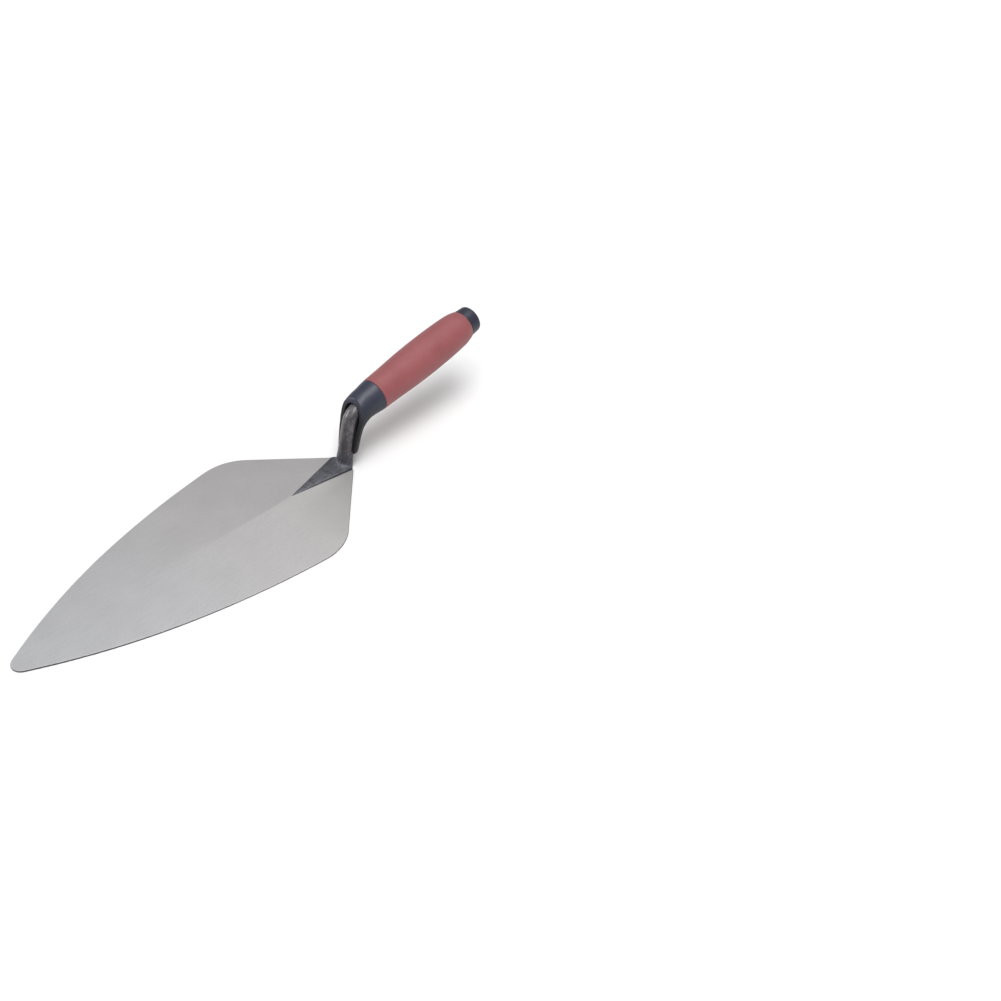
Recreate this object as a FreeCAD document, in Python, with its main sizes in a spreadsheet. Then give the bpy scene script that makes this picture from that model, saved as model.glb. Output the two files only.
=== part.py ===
import FreeCAD, Part
import math
import os
import Sketcher

# London-pattern brick trowel.
# Frame: millimetres, +Z up. The blade's underside lies on z = 0, the tip points to -X
# and the handle to +X. X = 0 is the middle of the whole trowel's length.

DIMENSIONS = {
    # blade outline, from the heel edge to the tip
    "heel_place": 70.35,
    "blade_length": 279.4,
    "blade_half_width": 63.5,
    "heel_half_width": 9.9,
    "shoulder_angle": 42.16,
    "corner_radius": 40.0,
    "wide_side_radius": 640.0,
    "tip_side_radius": 460.0,
    "side_join": 178.9,
    "tip_radius": 7.0,
    # blade thickness: a low ridge between two ground facets
    "ridge_at_heel": 2.3,
    "ridge_at_tip": 1.3,
    "facet_fall": 1.3,
    "blank_half_width": 72.0,
    # triangular boss on the heel
    "boss_length": 54.0,
    "boss_height": 4.4,
    "boss_tip_height": 2.0,
    # shank: a root, a leaning sweep, a tight bend, then straight along the handle
    "shank_setback": 2.4,
    "shank_sweep": 202.0,
    "shank_lean": 10.8,
    "shank_radius": 5.8,
    "bend_radius": 12.0,
    "handle_tilt": 10.8,
    "collar_straight": 15.4,
    "root_height": 20.0,
    "root_half_depth": 5.9,
    "root_half_width": 6.8,
    "root_lead": 2.0,
    "tang_front_radius": 4.6,
    "tang_end_radius": 3.0,
    "tang_length": 82.0,
    # finger guard: a bent tube, cut away in front of the shank
    "guard_bend_radius": 18.0,
    "collar_radius": 12.85,
    "collar_bend_radius": 11.6,
    "guard_upper_radius": 10.3,
    "guard_middle_radius": 9.0,
    "guard_end_radius": 8.3,
    "guard_middle_lift": 20.0,
    "guard_end_lift": 14.2,
    "guard_front_low": -0.8,
    "guard_front_high": 10.3,
    "guard_front_height": 60.0,
    "mouth_start": 1.0,
    "trough_radius": 6.6,
    # grip, core and cap, measured along the handle's own axis
    "grip_length": 97.75,
    "grip_swell_radius": 704.0,
    "grip_shoulder_place": 88.0,
    "grip_shoulder_radius": 13.9,
    "grip_end_radius": 11.5,
    "grip_end_round": 25.0,
    "core_radius": 9.6,
    "cap_length": 10.6,
    "cap_radius": 11.3,
    "cap_end_radius": 10.6,
    "cap_round": 2.2,
    "spigot_radius": 6.0,
    "spigot_length": 9.0,
}

# Expressions for the points of the shank's centre line, from the sheet's cells.
BASE_X = "(Dimensions.heel_place + Dimensions.shank_setback)"
LEAN = "Dimensions.shank_lean"
TILT = "Dimensions.handle_tilt"
LOW_X = BASE_X + " + Dimensions.shank_sweep * (1 - cos(%s))" % LEAN
LOW_Z = "Dimensions.shank_sweep * sin(%s)" % LEAN
BEND_X = "(%s + Dimensions.bend_radius * cos(%s))" % (LOW_X, LEAN)
BEND_Z = "(%s - Dimensions.bend_radius * sin(%s))" % (LOW_Z, LEAN)
HIGH_X = "(%s - Dimensions.bend_radius * sin(%s))" % (BEND_X, TILT)
HIGH_Z = "(%s + Dimensions.bend_radius * cos(%s))" % (BEND_Z, TILT)
GRIP_X = "%s + Dimensions.collar_straight * cos(%s)" % (HIGH_X, TILT)
GRIP_Z = "%s + Dimensions.collar_straight * sin(%s)" % (HIGH_Z, TILT)

# The guard bends on a larger radius about the same corner, so its bend starts earlier.
EXTRA = (
    "((Dimensions.guard_bend_radius - Dimensions.bend_radius)"
    " * tan((90 - %s - %s) / 2))" % (LEAN, TILT)
)
GUARD_BEND_X = "(%s - %s * sin(%s) + Dimensions.guard_bend_radius * cos(%s))" % (
    LOW_X, EXTRA, LEAN, LEAN)
GUARD_BEND_Z = "(%s - %s * cos(%s) - Dimensions.guard_bend_radius * sin(%s))" % (
    LOW_Z, EXTRA, LEAN, LEAN)

VECTOR = FreeCAD.Vector
UP = VECTOR(0, 0, 1)

# The arcs of one side of the blade, and first guesses of the angle each one turns.
ARC_NAMES = ("corner_radius", "wide_side_radius", "tip_side_radius", "tip_radius")
FIRST_SWEEPS = (47.5, 9.2, 12.9, 61.8)

os.makedirs("parts", exist_ok=True)
doc = FreeCAD.newDocument("brick_trowel")
sheet = doc.addObject("Spreadsheet::Sheet", "Dimensions")
for row, (alias, number) in enumerate(DIMENSIONS.items(), start=1):
    sheet.set("A%d" % row, alias)
    sheet.set("B%d" % row, str(number))
    sheet.setAlias("B%d" % row, alias)
doc.recompute()


def value_of(expression):
    return float(sheet.evalExpression(expression))


def bind(feature, prop, expression):
    feature.setExpression(prop, expression)


def origin_plane(body, role):
    for feature in body.Origin.OriginFeatures:
        if feature.Role == role:
            return feature
    raise ValueError(role)


def new_sketch(body, name, role, place=None):
    """A sketch on one of its body's origin planes, moved along the normal by place."""
    sketch = body.newObject("Sketcher::SketchObject", name)
    sketch.AttachmentSupport = [(origin_plane(body, role), "")]
    sketch.MapMode = "FlatFace"
    if place:
        sketch.setExpression("AttachmentOffset.Base.z", place)
    return sketch


def joint(kind, *where):
    """A constraint without a size."""
    return kind, where, None


def measure(kind, where, expression):
    """A constraint whose size is an expression of the sheet's cells."""
    return kind, where, expression


def point_at(geometry, point, x_size, y_size):
    """Both coordinates of one point of a sketch."""
    return [
        measure("DistanceX", (-1, 1, geometry, point), x_size),
        measure("DistanceY", (-1, 1, geometry, point), y_size),
    ]


def constrain(sketch, constraints):
    """Add all of a sketch's constraints at once, then bind the sized ones."""
    first = sketch.ConstraintCount
    made = []
    for kind, where, expression in constraints:
        numbers = where if expression is None else (*where, value_of(expression))
        made.append(Sketcher.Constraint(kind, *numbers))
    sketch.addConstraint(made)
    for index, (kind, where, expression) in enumerate(constraints, start=first):
        if expression is not None:
            sketch.setExpression("Constraints[%d]" % index, expression)


def polygon(sketch, corners):
    """Closed straight outline whose corners are pairs of expressions."""
    points = [VECTOR(value_of(x), value_of(y), 0) for x, y in corners]
    constraints = []
    for start, end in zip(points, points[1:] + points[:1]):
        sketch.addGeometry(Part.LineSegment(start, end))
    for number, (x, y) in enumerate(corners):
        previous = (number - 1) % len(corners)
        constraints.append(joint("Coincident", previous, 2, number, 1))
        constraints += point_at(number, 1, x, y)
    constrain(sketch, constraints)


def circle_arc(centre, radius, start_angle, end_angle):
    """Anticlockwise arc in a sketch; the angles are in degrees."""
    circle = Part.Circle(centre, UP, radius)
    return Part.ArcOfCircle(circle, math.radians(start_angle), math.radians(end_angle))


def heading(angle):
    """Unit vector at an angle in degrees."""
    return VECTOR(math.cos(math.radians(angle)), math.sin(math.radians(angle)), 0)


def half_outline(sketch):
    """One half of the outline: heel edge, shoulder, corner, two long arcs and the tip.

    Every joint is tangent, so the sizes in the sheet settle the rest of the shape.
    """
    heel = VECTOR(value_of("Dimensions.heel_place"), value_of("Dimensions.heel_half_width"), 0)
    shoulder = 180 - value_of("Dimensions.shoulder_angle")
    normal = shoulder - 90
    corner_rise = "Dimensions.blade_half_width - Dimensions.corner_radius"
    rise = value_of(corner_rise) + value_of("Dimensions.corner_radius") * heading(normal).y
    end = heel + heading(shoulder) * ((rise - heel.y) / heading(shoulder).y)

    line = sketch.addGeometry(Part.LineSegment(heel, end))
    arcs = []
    for name, first_sweep in zip(ARC_NAMES, FIRST_SWEEPS):
        radius = value_of("Dimensions." + name)
        centre = end - heading(normal) * radius
        arcs.append(sketch.addGeometry(circle_arc(centre, radius, normal, normal + first_sweep)))
        normal += first_sweep
        end = centre + heading(normal) * radius
    corner, wide, narrow, tip = arcs
    tip_end = VECTOR(end.x, 0, 0)
    heel_foot = VECTOR(heel.x, 0, 0)
    axis = sketch.addGeometry(Part.LineSegment(tip_end, heel_foot))
    heel_edge = sketch.addGeometry(Part.LineSegment(heel_foot, heel))

    constraints = [
        joint("Tangent", line, 2, corner, 1),
        joint("Tangent", corner, 2, wide, 1),
        joint("Tangent", wide, 2, narrow, 1),
        joint("Tangent", narrow, 2, tip, 1),
        joint("Coincident", tip, 2, axis, 1),
        joint("Coincident", axis, 2, heel_edge, 1),
        joint("Coincident", heel_edge, 2, line, 1),
        joint("PointOnObject", tip, 3, -1),
        measure("Angle", (-1, 1, line, 1), "180 - Dimensions.shoulder_angle"),
        measure("DistanceY", (-1, 1, corner, 3), corner_rise),
        measure("DistanceX", (-1, 1, wide, 2), "Dimensions.heel_place - Dimensions.side_join"),
    ]
    constraints += point_at(line, 1, "Dimensions.heel_place", "Dimensions.heel_half_width")
    constraints += point_at(heel_edge, 1, "Dimensions.heel_place", "0")
    constraints += point_at(tip, 2, "Dimensions.heel_place - Dimensions.blade_length", "0")
    constraints += [
        measure("Radius", (number,), "Dimensions." + name)
        for number, name in zip(arcs, ARC_NAMES)
    ]
    constrain(sketch, constraints)


def facet_section(sketch, ridge, edge):
    """What grinding takes off one side of a square blank at one place along the blade."""
    wide = "Dimensions.blank_half_width"
    above = "(Dimensions.ridge_at_heel + 2)"
    polygon(sketch, [
        ("0", ridge),
        (wide, edge),
        (wide, above),
        ("0", above),
    ])


def make_blade():
    """Flat-bottomed blade: one half cut from plate, its top ground off, then mirrored."""
    body = doc.addObject("PartDesign::Body", "Blade")
    outline = new_sketch(body, "HalfOutline", "XY_Plane")
    half_outline(outline)
    plate = body.newObject("PartDesign::Pad", "HalfPlate")
    plate.Profile = outline
    bind(plate, "Length", "Dimensions.ridge_at_heel")
    doc.recompute()
    plate_volume = body.Shape.Volume

    heel = new_sketch(body, "HeelFacet", "YZ_Plane", "Dimensions.heel_place + 5")
    tip_place = "Dimensions.heel_place - Dimensions.blade_length - 5"
    tip = new_sketch(body, "TipFacet", "YZ_Plane", tip_place)
    facet_section(heel, "Dimensions.ridge_at_heel",
                  "Dimensions.ridge_at_heel - Dimensions.facet_fall")
    facet_section(tip, "Dimensions.ridge_at_tip",
                  "Dimensions.ridge_at_tip - Dimensions.facet_fall")
    facet = body.newObject("PartDesign::SubtractiveLoft", "Facet")
    facet.Profile = heel
    facet.Sections = [tip]
    facet.Ruled = True
    doc.recompute()
    if not 0.4 * plate_volume < body.Shape.Volume < 0.95 * plate_volume:
        raise ValueError("the facet was not ground off")

    halves = body.newObject("PartDesign::Mirrored", "BothHalves")
    halves.Originals = [plate, facet]
    halves.MirrorPlane = (origin_plane(body, "XZ_Plane"), [""])
    body.Tip = halves
    doc.recompute()
    return body


def make_boss():
    """Triangular boss: full heel width, running out to nothing along the ridge."""
    body = doc.addObject("PartDesign::Body", "Boss")
    plan = new_sketch(body, "BossPlan", "XY_Plane")
    front = "Dimensions.heel_place - Dimensions.boss_length"
    polygon(plan, [
        (front, "0"),
        ("Dimensions.heel_place", "-Dimensions.heel_half_width"),
        ("Dimensions.heel_place", "Dimensions.heel_half_width"),
    ])
    block = body.newObject("PartDesign::Pad", "BossBlock")
    block.Profile = plan
    bind(block, "Length", "Dimensions.boss_height")
    doc.recompute()
    block_volume = body.Shape.Volume
    ramp = new_sketch(body, "BossRamp", "XZ_Plane")
    polygon(ramp, [
        (front + " - 5", "Dimensions.boss_tip_height"),
        (front, "Dimensions.boss_tip_height"),
        ("Dimensions.heel_place", "Dimensions.boss_height"),
        ("Dimensions.heel_place", "Dimensions.boss_height + 5"),
        (front + " - 5", "Dimensions.boss_height + 5"),
    ])
    slope = body.newObject("PartDesign::Pocket", "BossSlope")
    slope.Profile = ramp
    slope.Type = "ThroughAll"
    slope.Midplane = True
    doc.recompute()
    if not 0 < body.Shape.Volume < 0.95 * block_volume:
        raise ValueError("the boss kept its square top")
    return body


def section_ring(name, place_x, place_z, lean, across, along=None):
    """Ring square to the shank's path; across is its half-width along Y."""
    ring = doc.addObject("Part::Ellipse", name)
    bind(ring, "Placement.Base.x", place_x)
    bind(ring, "Placement.Base.z", place_z)
    bind(ring, "Placement.Rotation.Yaw", "90")
    bind(ring, "Placement.Rotation.Roll", lean)
    bind(ring, "MajorRadius", across)
    bind(ring, "MinorRadius", along or across)
    return ring


def make_loft(name, rings):
    loft = doc.addObject("Part::Loft", name)
    loft.Sections = rings
    loft.Solid = True
    return loft


def make_root():
    """Foot of the shank: it stands further forward and narrows upwards to the round bar."""
    rings = []
    for number, share in enumerate((0.0, 0.2, 0.42, 0.7, 1.0)):
        height = "Dimensions.root_height * %g" % share
        lean = "asin(%s / Dimensions.shank_sweep)" % height
        place = "%s + Dimensions.shank_sweep * (1 - cos(%s)) - %g * Dimensions.root_lead" % (
            BASE_X, lean, 1 - share ** 2)
        narrowing = (1 - share) ** 1.6
        across = "Dimensions.shank_radius + %g *" \
                 " (Dimensions.root_half_width - Dimensions.shank_radius)" % narrowing
        along = "Dimensions.shank_radius + %g *" \
                " (Dimensions.root_half_depth - Dimensions.shank_radius)" % narrowing
        rings.append(section_ring("RootRing%d" % number, place, height, lean, across, along))
    return make_loft("ShankRoot", rings)


def path_sketch(name, first_height, with_tail):
    """Centre line of the shank in the plane y = 0: sweep, bend and straight tail."""
    sketch = doc.addObject("Sketcher::SketchObject", name)
    sketch.Placement = FreeCAD.Placement(VECTOR(0, 0, 0), FreeCAD.Rotation(VECTOR(1, 0, 0), 90))
    lean = value_of(LEAN)
    tilt = value_of(TILT)
    sweep = value_of("Dimensions.shank_sweep")
    sweep_centre = VECTOR(value_of(BASE_X) + sweep, 0, 0)
    bend_centre = VECTOR(value_of(BEND_X), value_of(BEND_Z), 0)
    bend = value_of("Dimensions.bend_radius")
    start = value_of("asin(%s / Dimensions.shank_sweep)" % first_height)
    rise = sketch.addGeometry(circle_arc(sweep_centre, sweep, 180 - lean, 180 - start))
    turn = sketch.addGeometry(circle_arc(bend_centre, bend, 90 + tilt, 180 - lean))
    constraints = [
        joint("Tangent", rise, 1, turn, 2),
        measure("Radius", (rise,), "Dimensions.shank_sweep"),
        measure("DistanceY", (-1, 1, rise, 2), first_height),
        measure("DistanceX", (-1, 1, turn, 1), HIGH_X),
    ]
    constraints += point_at(rise, 3, BASE_X + " + Dimensions.shank_sweep", "0")
    constraints += point_at(turn, 3, BEND_X, BEND_Z)
    if with_tail:
        start = VECTOR(value_of(HIGH_X), value_of(HIGH_Z), 0)
        end = VECTOR(value_of(GRIP_X), value_of(GRIP_Z), 0)
        tail = sketch.addGeometry(Part.LineSegment(start, end))
        constraints.append(joint("Tangent", turn, 1, tail, 1))
        constraints.append(measure("Distance", (tail,), "Dimensions.collar_straight"))
    constrain(sketch, constraints)
    return sketch


def swept_bar(name, first_height, radius, with_tail=True):
    """Round bar of one radius along the shank's centre line, from a height upwards."""
    path = path_sketch(name + "Path", first_height, with_tail)
    start_lean = "asin(%s / Dimensions.shank_sweep)" % first_height
    start_x = "%s + Dimensions.shank_sweep * (1 - cos(%s))" % (BASE_X, start_lean)
    ring = section_ring(name + "Ring", start_x, first_height, start_lean, radius)
    doc.recompute()
    bar = doc.addObject("Part::Sweep", name)
    bar.Sections = [ring]
    bar.Spine = (path, ["Edge%d" % (n + 1) for n in range(len(path.Shape.Edges))])
    bar.Solid = True
    bar.Frenet = True
    return bar


def on_handle_axis(feature):
    """Put a feature's own X axis on the handle's axis, from the collar's back face."""
    bind(feature, "Placement.Base.x", GRIP_X)
    bind(feature, "Placement.Base.z", GRIP_Z)
    feature.Placement.Rotation = FreeCAD.Rotation(VECTOR(0, 1, 0), 0)
    bind(feature, "Placement.Rotation.Pitch", "-" + TILT)


def make_tang():
    """Tapered tang inside the handle."""
    body = doc.addObject("PartDesign::Body", "Tang")
    sketch = new_sketch(body, "TangHalf", "XZ_Plane")
    polygon(sketch, [
        ("0", "0"),
        ("Dimensions.tang_length", "0"),
        ("Dimensions.tang_length", "Dimensions.tang_end_radius"),
        ("0", "Dimensions.tang_front_radius"),
    ])
    revolve(body, "TangCone", sketch)
    on_handle_axis(body)
    return body


def revolve(body, name, sketch):
    feature = body.newObject("PartDesign::Revolution", name)
    feature.Profile = sketch
    feature.ReferenceAxis = (sketch, ["H_Axis"])
    feature.Angle = 360
    return feature


def make_forging():
    """The one-piece steel forging: blade, boss, shank and tang."""
    pieces = [
        make_blade(),
        make_boss(),
        make_root(),
        swept_bar("ShankBar", "Dimensions.root_height", "Dimensions.shank_radius"),
        make_tang(),
    ]
    forging = doc.addObject("Part::MultiFuse", "Forging")
    forging.Shapes = pieces
    forging.Refine = True
    forging.Label = "blade_forging"
    return forging


def guard_rings():
    """Rings of the bent guard tube, from its lower end up to the collar's back face."""
    rings = []
    for name in ("guard_end", "guard_middle"):
        height = "Dimensions.%s_lift" % name
        lean = "asin(%s / Dimensions.shank_sweep)" % height
        place = "%s + Dimensions.shank_sweep * (1 - cos(%s))" % (BASE_X, lean)
        rings.append(section_ring(
            "Ring_" + name, place, height, lean, "Dimensions.%s_radius" % name))
    for number, share in enumerate((0.0, 0.3, 0.6, 1.0)):
        lean = "(%s + %g * (90 - %s - %s))" % (LEAN, share, LEAN, TILT)
        place_x = "%s - Dimensions.guard_bend_radius * cos(%s)" % (GUARD_BEND_X, lean)
        place_z = "%s + Dimensions.guard_bend_radius * sin(%s)" % (GUARD_BEND_Z, lean)
        radius = "Dimensions.guard_upper_radius + %g *" \
                 " (Dimensions.collar_bend_radius - Dimensions.guard_upper_radius)" % share
        rings.append(section_ring("Ring_bend_%d" % number, place_x, place_z, lean, radius))
    rings.append(section_ring(
        "Ring_collar", GRIP_X, GRIP_Z, "90 - " + TILT, "Dimensions.collar_radius"))
    return rings


def make_guard():
    """Collar and finger guard: bent tube, open in front, with a trough for the shank."""
    tube = make_loft("GuardTube", guard_rings())

    front = doc.addObject("PartDesign::Body", "GuardFront")
    side = new_sketch(front, "GuardFrontSide", "XZ_Plane")
    low = "Dimensions.heel_place + Dimensions.guard_front_low"
    high = "Dimensions.heel_place + Dimensions.guard_front_high"
    polygon(side, [
        (low, "0"),
        (high, "Dimensions.guard_front_height"),
        ("Dimensions.heel_place - 20", "Dimensions.guard_front_height"),
        ("Dimensions.heel_place - 20", "0"),
    ])
    slab = front.newObject("PartDesign::Pad", "GuardFrontSlab")
    slab.Profile = side
    slab.Midplane = True
    bind(slab, "Length", "4 * Dimensions.collar_radius")

    trough = swept_bar(
        "Trough", "Dimensions.mouth_start", "Dimensions.trough_radius", with_tail=False)
    socket = swept_bar("Socket", "Dimensions.root_height", "Dimensions.shank_radius")

    opened = doc.addObject("Part::Cut", "GuardOpened")
    opened.Base = tube
    opened.Tool = front
    channelled = doc.addObject("Part::Cut", "GuardChannelled")
    channelled.Base = opened
    channelled.Tool = trough
    guard = doc.addObject("Part::Cut", "Guard")
    guard.Base = channelled
    guard.Tool = socket
    guard.Label = "finger_guard"
    doc.recompute()
    if not guard.Shape.Volume < channelled.Shape.Volume < opened.Shape.Volume < tube.Shape.Volume:
        raise ValueError("a cut of the guard removed nothing")
    return guard


def make_core():
    """Rigid core: a tube that holds the tang, with a socket for the cap's spigot."""
    body = doc.addObject("PartDesign::Body", "Core")
    sketch = new_sketch(body, "CoreHalf", "XZ_Plane")
    socket = "Dimensions.grip_length - Dimensions.spigot_length"
    polygon(sketch, [
        ("0", "Dimensions.tang_front_radius"),
        ("Dimensions.tang_length", "Dimensions.tang_end_radius"),
        ("Dimensions.tang_length", "0"),
        (socket, "0"),
        (socket, "Dimensions.spigot_radius"),
        ("Dimensions.grip_length", "Dimensions.spigot_radius"),
        ("Dimensions.grip_length", "Dimensions.core_radius"),
        ("0", "Dimensions.core_radius"),
    ])
    revolve(body, "CoreTube", sketch)
    on_handle_axis(body)
    body.Label = "handle_core"
    return body


def make_sleeve():
    """Barrel-shaped soft grip with a rounded rear end."""
    body = doc.addObject("PartDesign::Body", "Sleeve")
    sketch = new_sketch(body, "SleeveHalf", "XZ_Plane")
    corners = {
        "front_bore": ("0", "Dimensions.core_radius"),
        "rear_bore": ("Dimensions.grip_length", "Dimensions.core_radius"),
        "rear_rim": ("Dimensions.grip_length", "Dimensions.grip_end_radius"),
        "shoulder": ("Dimensions.grip_shoulder_place", "Dimensions.grip_shoulder_radius"),
        "front_rim": ("0", "Dimensions.collar_radius"),
    }
    points = {
        name: VECTOR(value_of(x), value_of(y), 0) for name, (x, y) in corners.items()
    }

    def line(first, second):
        return sketch.addGeometry(Part.LineSegment(points[first], points[second]))

    def bulge(first, second, radius_name):
        """Arc between two points that bulges away from the axis."""
        start, end = points[first], points[second]
        radius = value_of("Dimensions." + radius_name)
        chord = end - start
        middle = (start + end) * 0.5
        depth = math.sqrt(radius ** 2 - (chord.Length / 2) ** 2)
        inward = VECTOR(chord.y, -chord.x, 0).normalize()
        if inward.y > 0:
            inward = inward * -1
        centre = middle + inward * depth
        angles = sorted(
            math.degrees(math.atan2(p.y - centre.y, p.x - centre.x)) for p in (start, end))
        return sketch.addGeometry(circle_arc(centre, radius, *angles))

    bore = line("front_bore", "rear_bore")
    rear = line("rear_bore", "rear_rim")
    round_end = bulge("shoulder", "rear_rim", "grip_end_round")
    barrel = bulge("front_rim", "shoulder", "grip_swell_radius")
    front = line("front_rim", "front_bore")
    constraints = [
        joint("Coincident", bore, 2, rear, 1),
        joint("Coincident", rear, 2, round_end, 1),
        joint("Coincident", round_end, 2, barrel, 1),
        joint("Coincident", barrel, 2, front, 1),
        joint("Coincident", front, 2, bore, 1),
        measure("Radius", (round_end,), "Dimensions.grip_end_round"),
        measure("Radius", (barrel,), "Dimensions.grip_swell_radius"),
    ]
    constraints += point_at(bore, 1, *corners["front_bore"])
    constraints += point_at(bore, 2, *corners["rear_bore"])
    constraints += point_at(rear, 2, *corners["rear_rim"])
    constraints += point_at(barrel, 1, *corners["shoulder"])
    constraints += point_at(barrel, 2, *corners["front_rim"])
    constrain(sketch, constraints)
    revolve(body, "SleeveBarrel", sketch)
    on_handle_axis(body)
    body.Label = "grip_sleeve"
    return body


def make_cap():
    """Butt cap with a spigot inside the core and a rounded rim."""
    body = doc.addObject("PartDesign::Body", "Cap")
    sketch = new_sketch(body, "CapHalf", "XZ_Plane")
    end = "Dimensions.grip_length + Dimensions.cap_length"
    spigot = "Dimensions.grip_length - Dimensions.spigot_length"
    polygon(sketch, [
        (spigot, "0"),
        (end, "0"),
        (end, "Dimensions.cap_end_radius"),
        ("Dimensions.grip_length", "Dimensions.cap_radius"),
        ("Dimensions.grip_length", "Dimensions.spigot_radius"),
        (spigot, "Dimensions.spigot_radius"),
    ])
    turned = revolve(body, "CapTurned", sketch)
    doc.recompute()
    end_place = value_of(end)
    rim = [
        "Edge%d" % number
        for number, edge in enumerate(turned.Shape.Edges, start=1)
        if edge.Closed and abs(edge.CenterOfMass.x - end_place) < 0.01
    ]
    fillet = body.newObject("PartDesign::Fillet", "CapRim")
    fillet.Base = (turned, rim)
    bind(fillet, "Radius", "Dimensions.cap_round")
    on_handle_axis(body)
    body.Label = "end_cap"
    return body


sub_parts = [make_forging(), make_guard(), make_core(), make_sleeve(), make_cap()]
doc.recompute()

for feature in doc.Objects:
    if "Invalid" in feature.State or "Error" in feature.State:
        raise ValueError("%s failed: %s" % (feature.Name, feature.State))
    if feature.isDerivedFrom("Sketcher::SketchObject") and feature.solve() != 0:
        raise ValueError("%s is not solved" % feature.Name)
for sub_part in sub_parts:
    shape = sub_part.Shape
    if shape.isNull() or not shape.isValid() or not shape.Solids:
        raise ValueError("%s has no valid solid" % sub_part.Label)
    shape.exportStep("parts/%s.step" % sub_part.Label)
    box = shape.BoundBox
    print("%-14s solids %d, volume %.0f mm3, x %.2f to %.2f, y %.2f to %.2f, z %.2f to %.2f" % (
        sub_part.Label, len(shape.Solids), shape.Volume,
        box.XMin, box.XMax, box.YMin, box.YMax, box.ZMin, box.ZMax))
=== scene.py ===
import math

import bmesh
import bpy
import numpy as np
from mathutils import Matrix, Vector


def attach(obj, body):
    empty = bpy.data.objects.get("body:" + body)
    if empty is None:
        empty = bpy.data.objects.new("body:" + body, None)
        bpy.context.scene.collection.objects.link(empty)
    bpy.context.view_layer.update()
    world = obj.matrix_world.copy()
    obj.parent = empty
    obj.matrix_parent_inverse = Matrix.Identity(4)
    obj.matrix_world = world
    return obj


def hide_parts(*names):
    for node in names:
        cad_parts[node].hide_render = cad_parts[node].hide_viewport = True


# Brick trowel. Shapes are worked out in millimetres in the row frame and stored in metres.
MM = 0.001

# Blade outline, as in the CAD: heel edge, straight shoulder, then four arcs to the tip.
# Angles are in degrees. Each arc on the +Y side is
# (centre x, centre y, radius, first angle, last angle, number of steps).
BLADE_LENGTH = 279.4
HEEL_PLACE = 70.35
HEEL_HALF_WIDTH = 9.9
SHOULDER_NORMAL = 47.84
CORNER_END = 96.02
SIDE_JOIN = 105.14
TIP_START = 118.14
SIDE_ARCS = [
    (-4.264, 23.5, 40.0, SHOULDER_NORMAL, CORNER_END, 22),
    (58.639, -573.194, 640.0, CORNER_END, SIDE_JOIN, 30),
    (11.617, -399.444, 460.0, SIDE_JOIN, TIP_START, 34),
]
TIP_RADIUS = 7.0
TIP_CENTRE = HEEL_PLACE - BLADE_LENGTH + TIP_RADIUS
TIP_ROW = 128.0

# Blade thickness: two ground facets that fall away from a ridge. The ridge is crisp near
# the heel and soft towards the tip, and it wanders off the middle.
RIDGE_AT_HEEL = 2.3
RIDGE_AT_TIP = 1.3
RIDGE_PLACES = [0, 60, 80, 162, 230, 262]
RIDGE_OFFSETS = [-1.0, 0.0, 1.0, 4.5, 3.0, 0.0]
RIDGE_LIMIT = 0.4
CRISP_RIDGE = 0.004
SOFT_RIDGE = 0.30
SOFT_START = 0.34
SOFT_OVER = 0.34
FACET_FALL = 1.3
BLANK_HALF_WIDTH = 72.0

# Blade mesh: rows along it, columns across each facet, and the rounded edge. The first
# row and the last column are narrow, so that shading stays flat up to the edge.
SHOULDER_ROWS = 17
FIRST_ROW = 0.01
COLUMNS = 16
COLUMN_GROWTH = 1.35
EDGE_LIP = 0.5
TIP_BLENDS = (0.34, 0.67, 1.0)
EDGE_ROUND = 0.3
EDGE_ANGLES = np.radians((30, 60, 90))

# Centre line of the shank in the plane y = 0: sweep, bend and the handle's straight axis.
# Points are (x, z). The collar covers the straight piece from the axis point to the grip.
SHANK_BASE = HEEL_PLACE + 2.4
SWEEP_RADIUS = 202.0
TILT = math.radians(10.8)
AXIS_POINT = (85.87, 47.39)
COLLAR_STRAIGHT = 15.4
GRIP_START = (AXIS_POINT[0] + COLLAR_STRAIGHT * math.cos(TILT),
              AXIS_POINT[1] + COLLAR_STRAIGHT * math.sin(TILT))
SHANK_BEND = 12.0
SHANK_INSIDE_GUARD = 4.0

# Boss on the heel: its corners in plan, and how far its top stands above the blade.
BOSS_TIP = (16.2, -0.4)
BOSS_NEAR = (HEEL_PLACE, -9.8)
BOSS_FAR = (HEEL_PLACE, 12.0)
BOSS_TIP_RISE = 0.2
BOSS_NEAR_RISE = 1.9
BOSS_FAR_RISE = 0.4
BOSS_CROWN_RISE = 0.9
BOSS_DRAFT = 0.22
DRAFT_LEVEL = 2.0
BOSS_INSET = 0.15
BOSS_SIDE_ROUND = 0.4
BOSS_BACK_ROUND = 0.8
BOSS_TOP_ROUND = 0.7
BACK_FILLET = 2.5
FRONT_FILLET = 5.5
FILLET_GROWTH = (2.0, 8.0)
FORGING_BOTTOM = 0.6

# Finger guard: a bent tube with its lower end, front and trough cut away.
GUARD_BEND = 18.0
GUARD_LOW = 14.2
GUARD_LOW_ROUND = 1.0
GUARD_FRONT_ROUND = 0.9
GUARD_BACK_ROUND = 0.5
TROUGH_ROUND = 0.7

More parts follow.
